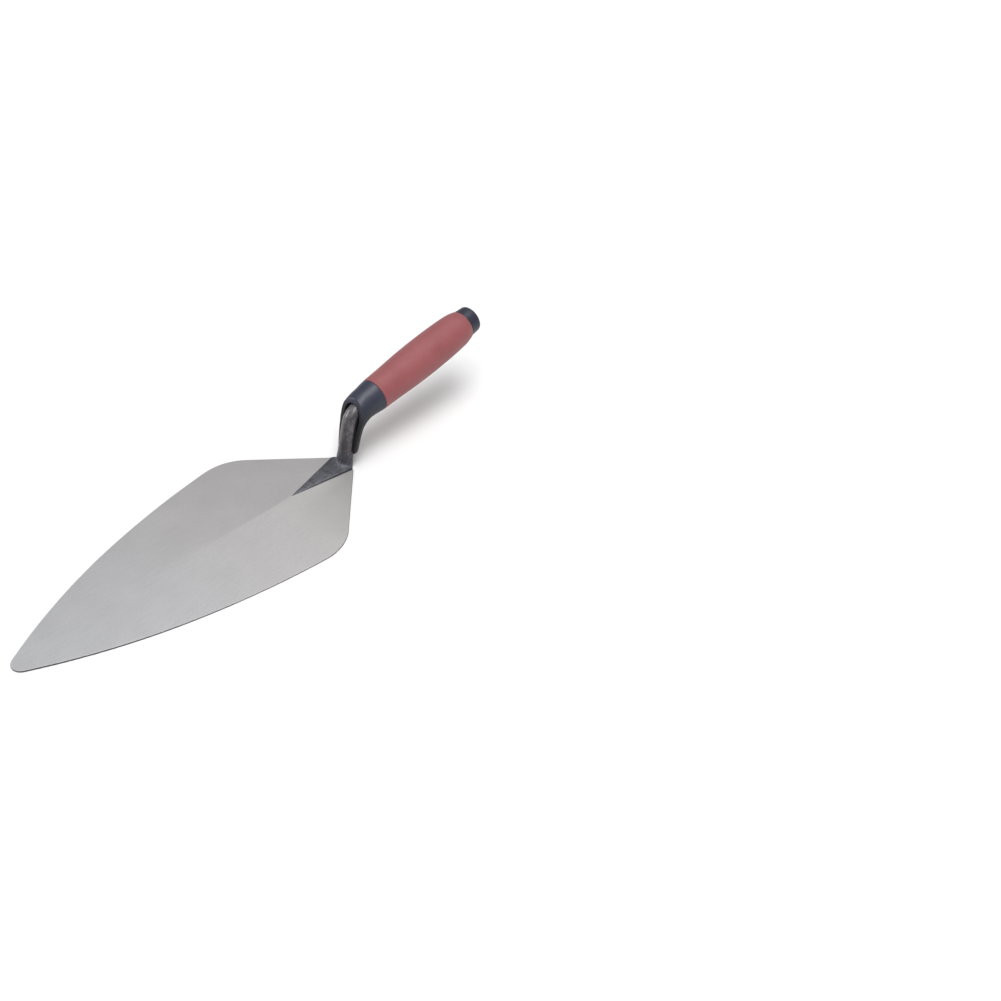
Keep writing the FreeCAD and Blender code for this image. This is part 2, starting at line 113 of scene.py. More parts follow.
# Grip profile along the handle's axis: (place, radius).
GRIP_LENGTH = 97.75
GRIP_PROFILE = [
    (0.0, 12.85), (16.3, 13.46), (32.6, 14.30), (48.9, 14.72), (65.2, 14.62),
    (78.0, 14.30), (86.5, 13.85), (91.5, 13.30), (95.2, 12.50), (97.3, 11.75),
]
RIM_ROUND = 0.5
CORE_RADIUS = 9.6
CAP_LENGTH = 10.6
CAP_RADIUS = 11.3
CAP_END_RADIUS = 10.6
CAP_ROUND = 2.2
CAP_DISH = 0.6
SPIGOT_RADIUS = 5.9
SPIGOT_LENGTH = 8.5
FIT_GAP = 0.05

# Meshing of the smooth shapes.
SKIN_STEP = 0.5
SKIN_ROUNDS = 6
TURN_SEGMENTS = 96
TABLE_SAMPLES = 600

# Camera and lights, in metres.
CAMERA_PLACE = (-0.4265, -0.4954, 0.5845)
CAMERA_TURN = (48.849, -5.355, -50.215)
CAMERA_LENS = 43.58
FLOOR_HALF = 30.0
HORIZON = (0.42, 0.42, 0.43)
ZENITH_HEIGHT = 0.8
SKY_STRENGTH = 0.42

# Key light: a short row of soft suns, so that the shadow is wide and even.
KEY_SIDES = [(-0.52, -0.42), (-0.33, -0.27), (-0.09, -0.13)]
KEY_ANGLE = math.radians(30)
KEY_ENERGY = 0.91

# Soft boxes: (name, place, aim, size, power in watts).
SOFT_BOXES = [
    ("overhead", (0.45, 0.0, 1.4), (0.09, 0, 0.04), 0.9, 9.0),
    ("left_side", (-0.7, 1.0, 0.5), (0.08, 0, 0.04), 0.6, 9.0),
]


# ---------------------------------------------------------------- mesh helpers

def mesh_object(name, points, faces):
    """Object with these points, in millimetres, shaded smooth."""
    mesh = bpy.data.meshes.new(name)
    mesh.from_pydata((np.asarray(points) * MM).tolist(), [], [tuple(f) for f in faces])
    mesh.validate()
    bm = bmesh.new()
    bm.from_mesh(mesh)
    bmesh.ops.recalc_face_normals(bm, faces=bm.faces)
    bm.to_mesh(mesh)
    bm.free()
    mesh.shade_smooth()
    obj = bpy.data.objects.new(name, mesh)
    bpy.context.scene.collection.objects.link(obj)
    return obj


def gradient(field, points, step=0.01):
    """Slope of a field at points, by central differences."""
    slopes = []
    for axis in np.eye(3) * step:
        slopes.append((field(points + axis) - field(points - axis)) / (2 * step))
    return np.stack(slopes, axis=-1)


def skin(name, field, low, high):
    """Even quad mesh on the surface where a field is zero; the field is negative inside.

    Each cell that the surface crosses gets one point. The points are then moved onto the
    surface and evened out, in turns.
    """
    step = SKIN_STEP
    axes = [np.arange(a, b + step, step) for a, b in zip(low, high)]
    grid = np.stack(np.meshgrid(*axes, indexing="ij"), axis=-1)
    values = np.stack([field(layer) for layer in grid])
    inside = values < 0
    cells = np.zeros([n - 1 for n in inside.shape], int)
    for i in (0, 1):
        for j in (0, 1):
            for k in (0, 1):
                a, b, c = cells.shape
                cells += inside[i:i + a, j:j + b, k:k + c]
    crossed = (cells > 0) & (cells < 8)
    number = np.full(crossed.shape, -1)
    number[crossed] = np.arange(crossed.sum())
    places = np.argwhere(crossed)
    points = np.asarray(low) + (places + 0.5) * step

    faces = []
    for axis in range(3):
        second, third = (axis + 1) % 3, (axis + 2) % 3
        before = np.moveaxis(inside, (axis, second, third), (0, 1, 2))
        owners = np.moveaxis(number, (axis, second, third), (0, 1, 2))
        start, end = before[:-1, 1:-1, 1:-1], before[1:, 1:-1, 1:-1]
        for flip in (False, True):
            hits = np.argwhere((start != end) & (start == flip))
            i, j, k = hits.T
            quad = [owners[i, j, k], owners[i, j + 1, k],
                    owners[i, j + 1, k + 1], owners[i, j, k + 1]]
            faces.append(np.stack(quad[::-1] if flip else quad, axis=-1))
    faces = np.concatenate(faces)

    edges = np.concatenate([faces[:, [n, (n + 1) % 4]] for n in range(4)])
    for turn in range(SKIN_ROUNDS):
        if turn:
            total = np.zeros_like(points)
            count = np.zeros(len(points))
            for a, b in ((0, 1), (1, 0)):
                np.add.at(total, edges[:, a], points[edges[:, b]])
                np.add.at(count, edges[:, a], 1)
            points = 0.4 * points + 0.6 * total / count[:, None]
        for _ in range(3):
            slope = gradient(field, points)
            size = np.maximum((slope ** 2).sum(-1), 1e-6)
            move = -slope * (field(points) / size)[:, None]
            length = np.linalg.norm(move, axis=-1)
            points = points + move * np.minimum(1, step / np.maximum(length, 1e-9))[:, None]
    return mesh_object(name, points, faces)


def join_smooth(a, b, blend):
    """Union of two fields with a fillet."""
    share = np.clip(0.5 + 0.5 * (b - a) / blend, 0, 1)
    return b + (a - b) * share - blend * share * (1 - share)


def keep_smooth(a, b, blend):
    """Common part of two fields with a rounded edge."""
    return -join_smooth(-a, -b, blend)


def bend_start(radius):
    """Lean at which a bend of this radius leaves the sweep and still meets the handle's axis."""
    off_axis = AXIS_POINT[1] * math.cos(TILT) - AXIS_POINT[0] * math.sin(TILT)
    reach = off_axis - radius + (SHANK_BASE + SWEEP_RADIUS) * math.sin(TILT)
    return math.asin(reach / (SWEEP_RADIUS - radius)) - TILT


def centre_line(p, radius):
    """Distance in the plane y = 0 to the centre line, and the place along it."""
    x, z = p[..., 0], p[..., 2]
    start = bend_start(radius)
    centre_x = SHANK_BASE + SWEEP_RADIUS
    lean = np.clip(np.arctan2(z, centre_x - x), 0, start)
    off = np.hypot(x - centre_x + SWEEP_RADIUS * np.cos(lean), z - SWEEP_RADIUS * np.sin(lean))
    place = SWEEP_RADIUS * lean

    bend_x = centre_x - (SWEEP_RADIUS - radius) * math.cos(start)
    bend_z = (SWEEP_RADIUS - radius) * math.sin(start)
    last = math.pi / 2 - TILT
    angle = np.clip(np.arctan2(z - bend_z, bend_x - x), start, last)
    off_bend = np.hypot(x - bend_x + radius * np.cos(angle), z - bend_z - radius * np.sin(angle))
    place_bend = SWEEP_RADIUS * start + radius * (angle - start)

    end_x = bend_x - radius * math.cos(last)
    end_z = bend_z + radius * math.sin(last)
    along = (x - end_x) * math.cos(TILT) + (z - end_z) * math.sin(TILT)
    along = np.maximum(along, 0)
    off_line = np.hypot(x - end_x - along * math.cos(TILT), z - end_z - along * math.sin(TILT))
    place_line = SWEEP_RADIUS * start + radius * (last - start) + along

    place = np.where(off_bend < off, place_bend, place)
    off = np.minimum(off, off_bend)
    place = np.where(off_line < off, place_line, place)
    return np.minimum(off, off_line), place


def line_length(radius):
    """Length of the centre line from the heel to the start of the grip."""
    return float(centre_line(np.array([GRIP_START[0], 0.0, GRIP_START[1]]), radius)[1])


def smooth_table(places, numbers, width):
    """Function through a table of numbers with its corners rounded off."""
    margin = TABLE_SAMPLES // 2
    fine = np.linspace(places[0] - 3 * width, places[-1] + 3 * width, TABLE_SAMPLES)
    rough = np.pad(np.interp(fine, places, numbers), margin, mode="edge")
    spread = np.exp(-0.5 * ((fine - fine.mean()) / width) ** 2)
    soft = np.convolve(rough, spread / spread.sum(), mode="same")[margin:-margin]
    return lambda place: np.interp(place, fine, soft)


# ---------------------------------------------------------------- blade

def ridge_place(x):
    """Y of the ridge: it wanders off the middle towards the far side, then returns."""
    return np.interp(HEEL_PLACE - x, RIDGE_PLACES, RIDGE_OFFSETS)


def blade_top(x, y):
    """Height of the blade's upper face."""
    along = (HEEL_PLACE - x) / BLADE_LENGTH
    crisp = CRISP_RIDGE + SOFT_RIDGE * np.clip((along - SOFT_START) / SOFT_OVER, 0, 1) ** 1.5
    off = np.abs(y - ridge_place(x)) / BLANK_HALF_WIDTH
    fall = np.sqrt(off ** 2 + crisp ** 2) - crisp
    return RIDGE_AT_HEEL + (RIDGE_AT_TIP - RIDGE_AT_HEEL) * along - FACET_FALL * fall


def side_points():
    """One side of the blade's outline as (x, half width), from the heel to near the tip."""
    x, y, radius = SIDE_ARCS[0][:3]
    shoulder = math.radians(SHOULDER_NORMAL)
    end_x = x + radius * math.cos(shoulder)
    end_y = y + radius * math.sin(shoulder)
    shares = np.insert(np.arange(SHOULDER_ROWS) / SHOULDER_ROWS, 1, FIRST_ROW)
    points = []
    for share in shares:
        points.append((HEEL_PLACE + share * (end_x - HEEL_PLACE),
                       HEEL_HALF_WIDTH + share * (end_y - HEEL_HALF_WIDTH)))
    tip = (TIP_CENTRE, 0.0, TIP_RADIUS, TIP_START, TIP_ROW, 4)
    for x, y, radius, first, last, count in SIDE_ARCS + [tip]:
        for angle in np.radians(np.linspace(first, last, count + 1)[:-1]):
            points.append((x + radius * math.cos(angle), y + radius * math.sin(angle)))
    return points


def blade_plan():
    """Grid of plan positions, rows from heel to tip and columns across."""
    inner = (np.arange(COLUMNS) / (COLUMNS - 1)) ** COLUMN_GROWTH
    rows = []
    for x, half in side_points():
        share = np.append(inner * (1 - EDGE_LIP / half), 1)
        ridge = float(np.clip(ridge_place(x), -RIDGE_LIMIT * half, RIDGE_LIMIT * half))
        far = ridge + (half - ridge) * share
        near = ridge - (half + ridge) * share
        rows.append([(x, y) for y in np.concatenate([near[:0:-1], far])])
    spread = math.pi - math.radians(TIP_ROW)
    last = rows[-1]
    angles = np.linspace(-spread, spread, 2 * COLUMNS + 1)
    arc = [(TIP_CENTRE - TIP_RADIUS * math.cos(a), TIP_RADIUS * math.sin(a)) for a in angles]
    for blend in TIP_BLENDS:
        half = abs(last[0][1]) + blend * (abs(arc[0][1]) - abs(last[0][1]))
        edge = math.sqrt(TIP_RADIUS ** 2 - min(half, TIP_RADIUS) ** 2)
        row = []
        for (x0, y0), (x1, y1) in zip(last, arc):
            row.append((x0 + blend * (x1 - x0), y0 + blend * (y1 - y0)))
        row[0] = (TIP_CENTRE - edge, -half)
        row[-1] = (TIP_CENTRE - edge, half)
        rows.append(row)
    return np.array(rows)


def make_blade():
    """Ground blade: upper and lower face, with a rounded edge all round."""
    plan = blade_plan()
    rows, columns = plan.shape[:2]
    loop = [(0, j) for j in range(columns)]
    loop += [(i, columns - 1) for i in range(1, rows)]
    loop += [(rows - 1, j) for j in range(columns - 2, -1, -1)]
    loop += [(i, 0) for i in range(rows - 2, 0, -1)]
    rim = np.array([plan[i, j] for i, j in loop])
    step = np.roll(rim, -1, 0) - np.roll(rim, 1, 0)
    outward = np.stack([step[:, 1], -step[:, 0]], -1)
    outward /= np.linalg.norm(outward, axis=1)[:, None]
    top = blade_top(plan[..., 0], plan[..., 1])
    rim_top = blade_top(rim[:, 0], rim[:, 1])

    points = []
    faces = []

    def add(new):
        """Adds points and returns the number of the first one."""
        first = len(points)
        points.extend(map(tuple, new))
        return first

    def face_grid(heights):
        """Adds one face of the blade and returns the point numbers round its rim."""
        inner = plan.copy()
        for (i, j), place in zip(loop, rim - EDGE_ROUND * outward):
            inner[i, j] = place
        first = add(np.concatenate([inner, heights[..., None]], -1).reshape(-1, 3))
        for i in range(rows - 1):
            for j in range(columns - 1):
                a = first + i * columns + j
                faces.append((a, a + 1, a + columns + 1, a + columns))
        return [first + i * columns + j for i, j in loop]

    upper = face_grid(top)
    lower = face_grid(np.zeros_like(top))
    rings = [upper]
    for angle in EDGE_ANGLES:
        inset = EDGE_ROUND * (1 - math.sin(angle))
        height = rim_top - EDGE_ROUND * (1 - math.cos(angle))
        first = add(np.column_stack([rim - inset * outward, height]))
        rings.append(list(range(first, first + len(loop))))
    for angle in EDGE_ANGLES[::-1]:
        inset = EDGE_ROUND * (1 - math.sin(angle))
        height = np.full(len(loop), EDGE_ROUND * (1 - math.cos(angle)))
        first = add(np.column_stack([rim - inset * outward, height]))
        rings.append(list(range(first, first + len(loop))))
    rings.append(lower)
    for above, below in zip(rings, rings[1:]):
        for n in range(len(loop)):
            m = (n + 1) % len(loop)
            faces.append((above[n], above[m], below[m], below[n]))
    return mesh_object("blade", points, faces)


# ---------------------------------------------------------------- boss and shank

def plan_side(p, first, last):
    """Signed distance to an upright wall through two plan points; negative on its left."""
    along = np.array(last) - np.array(first)
    along = along / np.linalg.norm(along)
    return (p[..., 0] - first[0]) * along[1] - (p[..., 1] - first[1]) * along[0]


# The shank's root, by place along the centre line: half width, half depth, and how far
# the root stands towards the blade.
root_width = smooth_table(
    [0, 5, 12, 20, 27, 36, 50], [6.7, 6.4, 6.05, 5.9, 5.85, 5.8, 5.6], 1.5)
root_depth = smooth_table([0, 8, 16, 36, 50], [5.9, 5.9, 5.85, 5.75, 5.6], 1.5)
root_lead = smooth_table(
    [0, 8, 13, 20, 27, 36, 46, 56], [2.0, 1.7, 1.0, 0.4, 0.35, 0.35, 0.35, 0.1], 3.0)


def forged_field(p):
    """Boss and shank as one forging."""
    x, y, z = p[..., 0], p[..., 1], p[..., 2]
    back = np.clip((x - BOSS_TIP[0]) / (HEEL_PLACE - BOSS_TIP[0]), 0, 1.3)
    near = plan_side(p, BOSS_TIP, BOSS_NEAR)
    far = plan_side(p, BOSS_FAR, BOSS_TIP)
    shoulder = math.radians(SHOULDER_NORMAL)
    outline = ((x - HEEL_PLACE) * math.cos(shoulder)
               + (np.abs(y) - HEEL_HALF_WIDTH) * math.sin(shoulder))
    across = np.clip((near - far) / np.minimum(near + far, -0.2), -1.2, 1.2)
    edge_rise = np.interp(across, [-1, 1], [BOSS_NEAR_RISE, BOSS_FAR_RISE])
    rise = edge_rise * back ** 0.8 + BOSS_CROWN_RISE * back * (1 - across ** 2)
    top = z - blade_top(x, y) - rise - BOSS_TIP_RISE
    draft = BOSS_DRAFT * (z - DRAFT_LEVEL)
    boss = keep_smooth(near + draft, far + draft, BOSS_SIDE_ROUND)
    boss = keep_smooth(boss, outline + BOSS_INSET, BOSS_BACK_ROUND)
    boss = keep_smooth(boss, x - HEEL_PLACE, BOSS_BACK_ROUND)
    boss = keep_smooth(boss, top, BOSS_TOP_ROUND)

    place = centre_line(p, SHANK_BEND)[1]
    moved = p + np.stack([root_lead(place), 0 * place, 0 * place], axis=-1)
    off, place = centre_line(moved, SHANK_BEND)
    wide, deep = root_width(place), root_depth(place)
    shank = (np.sqrt((off / deep) ** 2 + (y / wide) ** 2) - 1) * deep
    shank = np.maximum(shank, place - line_length(SHANK_BEND) + SHANK_INSIDE_GUARD)
    fillet = np.interp(HEEL_PLACE - x, FILLET_GROWTH, (BACK_FILLET, FRONT_FILLET))
    return np.maximum(join_smooth(boss, shank, fillet), FORGING_BOTTOM - z)


def make_forging():
    """Boss and shank, with the start of the tang inside the guard."""
    return skin("forged_shank", forged_field, (13, -15, -1), (100, 14, 58))


# ---------------------------------------------------------------- finger guard

# The guard's tube by place along its centre line, its front face by height, and the
# radius of its trough by place.
guard_length = line_length(GUARD_BEND)
guard_radius = smooth_table(
    [11, 13, 20, 27, 33.6, 40.2, 46.7, 55.5, guard_length],
    [8.1, 8.3, 9.0, 9.5, 10.2, 10.8, 11.2, 11.6, 12.85], 2.0)
guard_front = smooth_table(
    [10, 17, 29, 41, 50, 60], [71.7, 72.7, 74.5, 77.3, 78.9, 80.4], 2.0)
trough_radius = smooth_table([14, 24, 34, 44, 50], [6.25, 6.5, 7.0, 7.3, 7.3], 2.0)


def guard_field(p):
    """Bent collar, cut away in front, with a trough for the shank."""
    x, y, z = p[..., 0], p[..., 1], p[..., 2]
    off, place = centre_line(p, GUARD_BEND)
    tube = np.hypot(off, y) - guard_radius(place)
    along = (x - GRIP_START[0]) * math.cos(TILT) + (z - GRIP_START[1]) * math.sin(TILT)
    tube = keep_smooth(tube, along, GUARD_BACK_ROUND)
    tube = keep_smooth(tube, GUARD_LOW - place, GUARD_LOW_ROUND)
    tube = keep_smooth(tube, guard_front(z) - x, GUARD_FRONT_ROUND)
    off, place = centre_line(p, SHANK_BEND)
    gap = np.hypot(off, y) - trough_radius(place)
    gap = np.maximum(gap, place - line_length(SHANK_BEND) + COLLAR_STRAIGHT)
    return keep_smooth(tube, -gap, TROUGH_ROUND)


def make_guard():
    """Collar of the handle and the finger guard below it."""
    return skin("collar_guard", guard_field, (70, -15, 6), (106, 15, 66))


# ---------------------------------------------------------------- grip and cap

def turned(name, profile):
    """Body turned about the handle's axis.

    The profile runs from axis to axis, or else it is a ring section and is closed here.
    """
    segments = TURN_SEGMENTS
    points = []
    faces = []
    rings = []
    forward = np.array([math.cos(TILT), 0, math.sin(TILT)])
    upward = np.array([-math.sin(TILT), 0, math.cos(TILT)])
    start = np.array([GRIP_START[0], 0, GRIP_START[1]])
    for place, radius in profile:
        base = start + place * forward
        if radius < 1e-6:
            rings.append([len(points)] * segments)
            points.append(base)
            continue
        rings.append(list(range(len(points), len(points) + segments)))
        for turn in np.arange(segments) * 2 * math.pi / segments:
            side = upward * math.cos(turn) + np.array([0, math.sin(turn), 0])
            points.append(base + radius * side)
    closed = profile[0][1] > 1e-6
    pairs = list(zip(rings, rings[1:])) + ([(rings[-1], rings[0])] if closed else [])
    for first, second in pairs:
        for n in range(segments):
            m = (n + 1) % segments
            corners = [first[n], first[m], second[m], second[n]]
            faces.append(tuple(dict.fromkeys(corners)))
    return mesh_object(name, points, faces)


def rounded(corner, before, after, radius, count=4):
    """Arc that replaces a corner of a profile."""
    corner, before, after = (np.array(p, float) for p in (corner, before, after))
    start = corner + radius * (before - corner) / np.linalg.norm(before - corner)
    end = corner + radius * (after - corner) / np.linalg.norm(after - corner)
    points = []
    for share in np.linspace(0, 1, count + 1):
        points.append(tuple((1 - share) ** 2 * start + 2 * share * (1 - share) * corner
                            + share ** 2 * end))
    return points


def make_sleeve():
    """Soft grip: barrel with small rounded rims and a bore for the core."""
    places, radii = zip(*GRIP_PROFILE)
    barrel = smooth_table(places, radii, 1.6)
    front = rounded((FIT_GAP, radii[0]), (FIT_GAP, CORE_RADIUS), (10, barrel(10)), 0.45)
    profile = [(FIT_GAP, CORE_RADIUS), (FIT_GAP, 11.4)] + front
    for place in np.concatenate([np.linspace(1.2, 84, 56), np.linspace(85, 97.0, 18)]):
        profile.append((float(place), float(barrel(place))))
    end = GRIP_LENGTH - FIT_GAP
    before = (97.0, float(barrel(97.0)))
    profile += rounded((end, 11.5), before, (end, CORE_RADIUS), RIM_ROUND)
    profile += [(end, 10.4), (end, CORE_RADIUS)]
    return turned("grip", profile)


def make_cap():
    """Butt cap: rounded rims, a shallow dish in its end and a spigot."""
    start = GRIP_LENGTH + FIT_GAP
    end = GRIP_LENGTH + CAP_LENGTH
    spigot_end = start - SPIGOT_LENGTH
    chamfer = 0.5
    narrow = (spigot_end, SPIGOT_RADIUS - chamfer)
    profile = [(spigot_end, 0.0), narrow]
    profile += rounded((spigot_end + chamfer, SPIGOT_RADIUS), narrow, (start, SPIGOT_RADIUS), 0.3)
    profile += [(start, SPIGOT_RADIUS), (start, 9.0)]
    profile += rounded((start, CAP_RADIUS), (start, 9.0), (end, CAP_RADIUS), RIM_ROUND)
    for share in np.linspace(0.12, 0.72, 7):
        radius = CAP_RADIUS + share * (CAP_END_RADIUS - CAP_RADIUS)
        profile.append((start + share * CAP_LENGTH, radius))
    profile += rounded((end, CAP_END_RADIUS), (start, CAP_RADIUS), (end, 0), CAP_ROUND, 8)
    profile += [(end, 7.6), (end - 0.25, 7.0), (end - 0.45, 6.0), (end - 0.55, 4.0),
                (end - CAP_DISH, 2.0), (end - CAP_DISH, 0.0)]
    return turned("butt_cap", profile)


# ---------------------------------------------------------------- materials

class Paint:
    """One procedural material and the nodes it is made of."""

    def __init__(self, name):
        self.material = bpy.data.materials.new(name)
        self.material.use_nodes = True
        self.tree = self.material.node_tree
        self.shader = self.tree.nodes["Principled BSDF"]
        self.place = self.add("ShaderNodeTexCoord").outputs["Object"]
        self.axes = self.add("ShaderNodeSeparateXYZ", {"Vector": self.place}).outputs

    def put(self, socket, value):
        """Links a socket to an input, or sets the input's own value."""
        if isinstance(value, bpy.types.NodeSocket):
            self.tree.links.new(value, socket)
        elif socket.type == "RGBA":
            socket.default_value = (*value, 1)
        else:
            socket.default_value = value

    def add(self, kind, inputs=None, **settings):
        """New node with its settings and inputs."""
        node = self.tree.nodes.new(kind)
        for name, value in settings.items():
            setattr(node, name, value)
        for name, value in (inputs or {}).items():
            self.put(node.inputs[name], value)
        return node

    def math(self, operation, a, b=0.0):
        return self.add("ShaderNodeMath", {0: a, 1: b}, operation=operation).outputs[0]

    def stretch(self, x, y, z):
        """Object position with each axis scaled."""
        node = self.add("ShaderNodeVectorMath", {0: self.place, 1: (x, y, z)},
                        operation="MULTIPLY")
        return node.outputs["Vector"]

    def noise(self, size, detail=3.0, roughness=0.55, where=None, distortion=0.0):
        """Noise whose features are about this many millimetres across.

        With a place of its own, the noise takes its scale from that place instead.
        """
        node = self.add("ShaderNodeTexNoise", {
            "Vector": where or self.place, "Scale": 1.0 if where else 1000.0 / size,
            "Detail": detail, "Roughness": roughness, "Distortion": distortion})
        return node.outputs["Fac"]

    def span(self, value, low, high, to_low=0.0, to_high=1.0):
        """Value carried smoothly from one range to another."""
        node = self.add("ShaderNodeMapRange", {
            "Value": value, "From Min": low, "From Max": high,
            "To Min": to_low, "To Max": to_high}, interpolation_type="SMOOTHSTEP")
        return node.outputs["Result"]

    def facing_up(self):
        """Height part of the surface's own normal, without its sign."""
        normal = self.add("ShaderNodeNewGeometry").outputs["True Normal"]
        up = self.add("ShaderNodeSeparateXYZ", {"Vector": normal}).outputs["Z"]
        return self.math("ABSOLUTE", up)

    def mix(self, share, a, b):
        """Colour a changed into colour b by a share."""
        node = self.add("ShaderNodeMix", {0: share, 6: a, 7: b}, data_type="RGBA")
        return node.outputs[2]

    def bump(self, height, depth, strength=1.0, under=None):
        """Bump of a height field; depth is in millimetres."""
        inputs = {"Height": height, "Distance": depth * MM, "Strength": strength}
        if under:
            inputs["Normal"] = under
        return self.add("ShaderNodeBump", inputs).outputs["Normal"]

    def finish(self, **inputs):
        """Sets the shader's inputs and returns the material."""
        for name, value in inputs.items():
            self.put(self.shader.inputs[name.replace("_", " ")], value)
        return self.material


def ground_steel():
    """Satin blade: fine specks and grinding lines, with painted shade on the far side of the
    ridge, at the heel on the near side and on the edge wall.
    """
    paint = Paint("ground_steel")
    x, y, _ = paint.axes
    along = paint.span(x, -0.19, 0.07)
    base = paint.mix(along, (0.470, 0.474, 0.492), (0.478, 0.458, 0.452))
    # Painted shade: the far side of the ridge is darker, fading out towards the tip.
    bend = paint.span(x, -0.13, 0.01, 0.0042, 0.0)
    side = paint.math("SUBTRACT", y, bend)
    soft = paint.span(x, -0.16, -0.02, 0.030, 0.0012)
    far_side_shade = paint.span(paint.math("DIVIDE", side, soft), -0.5, 0.5)
    far_side_shade = paint.math("MULTIPLY", far_side_shade, paint.span(x, -0.13, 0.04, 0.08, 1.0))
    base = paint.mix(far_side_shade, base, (0.410, 0.396, 0.396))
    # Painted shade: the near side of the blade is darker towards the heel, next to the shank and
    # under the handle.
    heel = paint.math("MULTIPLY", paint.span(x, -0.01, 0.07, 0.0, 0.9),
                      paint.span(y, 0.0, -0.02))
    base = paint.mix(heel, base, (0.33, 0.32, 0.315))
    speck = paint.noise(0.75, 4.0, 0.7)
    base = paint.mix(paint.span(speck, 0.30, 0.72, 0.0, 0.38), base, (0.33, 0.325, 0.33))
    cloud = paint.noise(26.0, 3.0, 0.6)
    base = paint.mix(paint.span(cloud, 0.35, 0.7, 0.0, 0.07), base, (0.60, 0.59, 0.59))
    lines = paint.noise(1.0, 3.0, 0.6, paint.stretch(90.0, 1500.0, 300.0))
    base = paint.mix(paint.span(lines, 0.40, 0.75, 0.0, 0.30), base, (0.36, 0.355, 0.36))
    rough = paint.math("ADD", paint.span(cloud, 0.3, 0.7, 0.50, 0.53),
                       paint.span(speck, 0.3, 0.7, -0.03, 0.05))
    normal = paint.bump(speck, 0.03, 0.45)
    normal = paint.bump(lines, 0.02, 0.35, normal)
    # Painted shade: where the surface turns away from facing up, on the edge wall, the colour
    # goes nearly black; the edge is also rougher there.
    rim = paint.span(paint.facing_up(), 0.70, 0.985, 1.0, 0.0)
    base = paint.mix(paint.math("MULTIPLY", rim, 0.95), base, (0.045, 0.045, 0.050))
    rough = paint.math("ADD", rough, paint.math("MULTIPLY", rim, 0.25))
    return paint.finish(Base_Color=base, Metallic=0.55, Roughness=rough, Normal=normal)


def forged_steel():
    """Dark forging scale: bluish on the boss, brownish on the shank, with worn spots and painted
    shade where the shank rises from the boss.
    """
    paint = Paint("forged_steel")
    x, _, z = paint.axes
    patch = paint.noise(9.0, 4.0, 0.6)
    blue = paint.mix(patch, (0.110, 0.114, 0.130), (0.155, 0.158, 0.176))
    brown = paint.mix(patch, (0.058, 0.050, 0.057), (0.120, 0.108, 0.118))
    light = paint.mix(patch, (0.088, 0.081, 0.090), (0.165, 0.157, 0.170))
    brown = paint.mix(paint.span(z, 0.020, 0.036), brown, light)
    height = paint.math("ADD", z, paint.span(patch, 0.3, 0.7, -0.004, 0.004))
    base = paint.mix(paint.span(height, 0.007, 0.018), blue, brown)
    # Painted shade: the boss is darker where the shank rises from it.
    shank_root_shade = paint.math("MULTIPLY", paint.span(x, 0.042, 0.064, 0.0, 0.55),
                      paint.span(z, 0.008, 0.020, 1.0, 0.0))
    base = paint.mix(shank_root_shade, base, (0.062, 0.062, 0.082))
    scuff = paint.noise(3.0, 5.0, 0.72, distortion=0.6)
    base = paint.mix(paint.span(scuff, 0.54, 0.70, 0.0, 0.60), base, (0.27, 0.268, 0.282))
    stain = paint.noise(4.5, 3.0, 0.6, distortion=0.8)
    base = paint.mix(paint.span(stain, 0.50, 0.64, 0.0, 0.55), base, (0.045, 0.040, 0.046))
    scale = paint.noise(0.9, 4.0, 0.65)
    base = paint.mix(paint.span(scale, 0.35, 0.75, 0.0, 0.35), base, (0.045, 0.043, 0.048))
    matt = paint.math("ADD", paint.span(z, 0.006, 0.024, 0.60, 0.42),
                      paint.span(z, 0.042, 0.052, 0.0, 0.20))
    rough = paint.math("ADD", matt, paint.span(scale, 0.3, 0.7, -0.05, 0.08))
    normal = paint.bump(paint.noise(5.0, 2.0, 0.5), 0.35, 0.35)
    normal = paint.bump(scale, 0.06, 0.6, normal)
    return paint.finish(Base_Color=base, Metallic=0.75, Roughness=rough, Normal=normal,
                        Coat_Weight=paint.span(z, 0.008, 0.024, 0.0, 0.35),
                        Coat_Roughness=0.12)


def black_plastic():
    """Moulded guard and cap: blue-black and satin above, dull below, where painted shade makes
    the guard nearly black; the collar's lighter blue-black is partly painted sheen.
    """
    paint = Paint("black_plastic")
    x, _, z = paint.axes
    cloud = paint.noise(18.0, 3.0, 0.5)
    collar = paint.mix(cloud, (0.030, 0.033, 0.053), (0.044, 0.048, 0.074))
    # Painted shade: below the collar the colour goes nearly black. The lighter blue-black of the
    # collar above is the plastic's tone with painted sheen.
    collar = paint.mix(paint.span(z, 0.038, 0.058), (0.008, 0.008, 0.011), collar)
    base = paint.mix(paint.span(x, 0.12, 0.18), collar, (0.026, 0.028, 0.046))
    grain = paint.noise(0.35, 3.0, 0.6)
    base = paint.mix(paint.span(grain, 0.4, 0.75, 0.0, 0.3), base, (0.040, 0.043, 0.058))
    rough = paint.math("ADD", paint.span(z, 0.034, 0.058, 0.62, 0.36),
                       paint.span(grain, 0.3, 0.7, -0.01, 0.08))
    normal = paint.bump(grain, 0.02, 0.5)
    return paint.finish(Base_Color=base, Roughness=rough, Normal=normal,
                        Specular_IOR_Level=0.34)


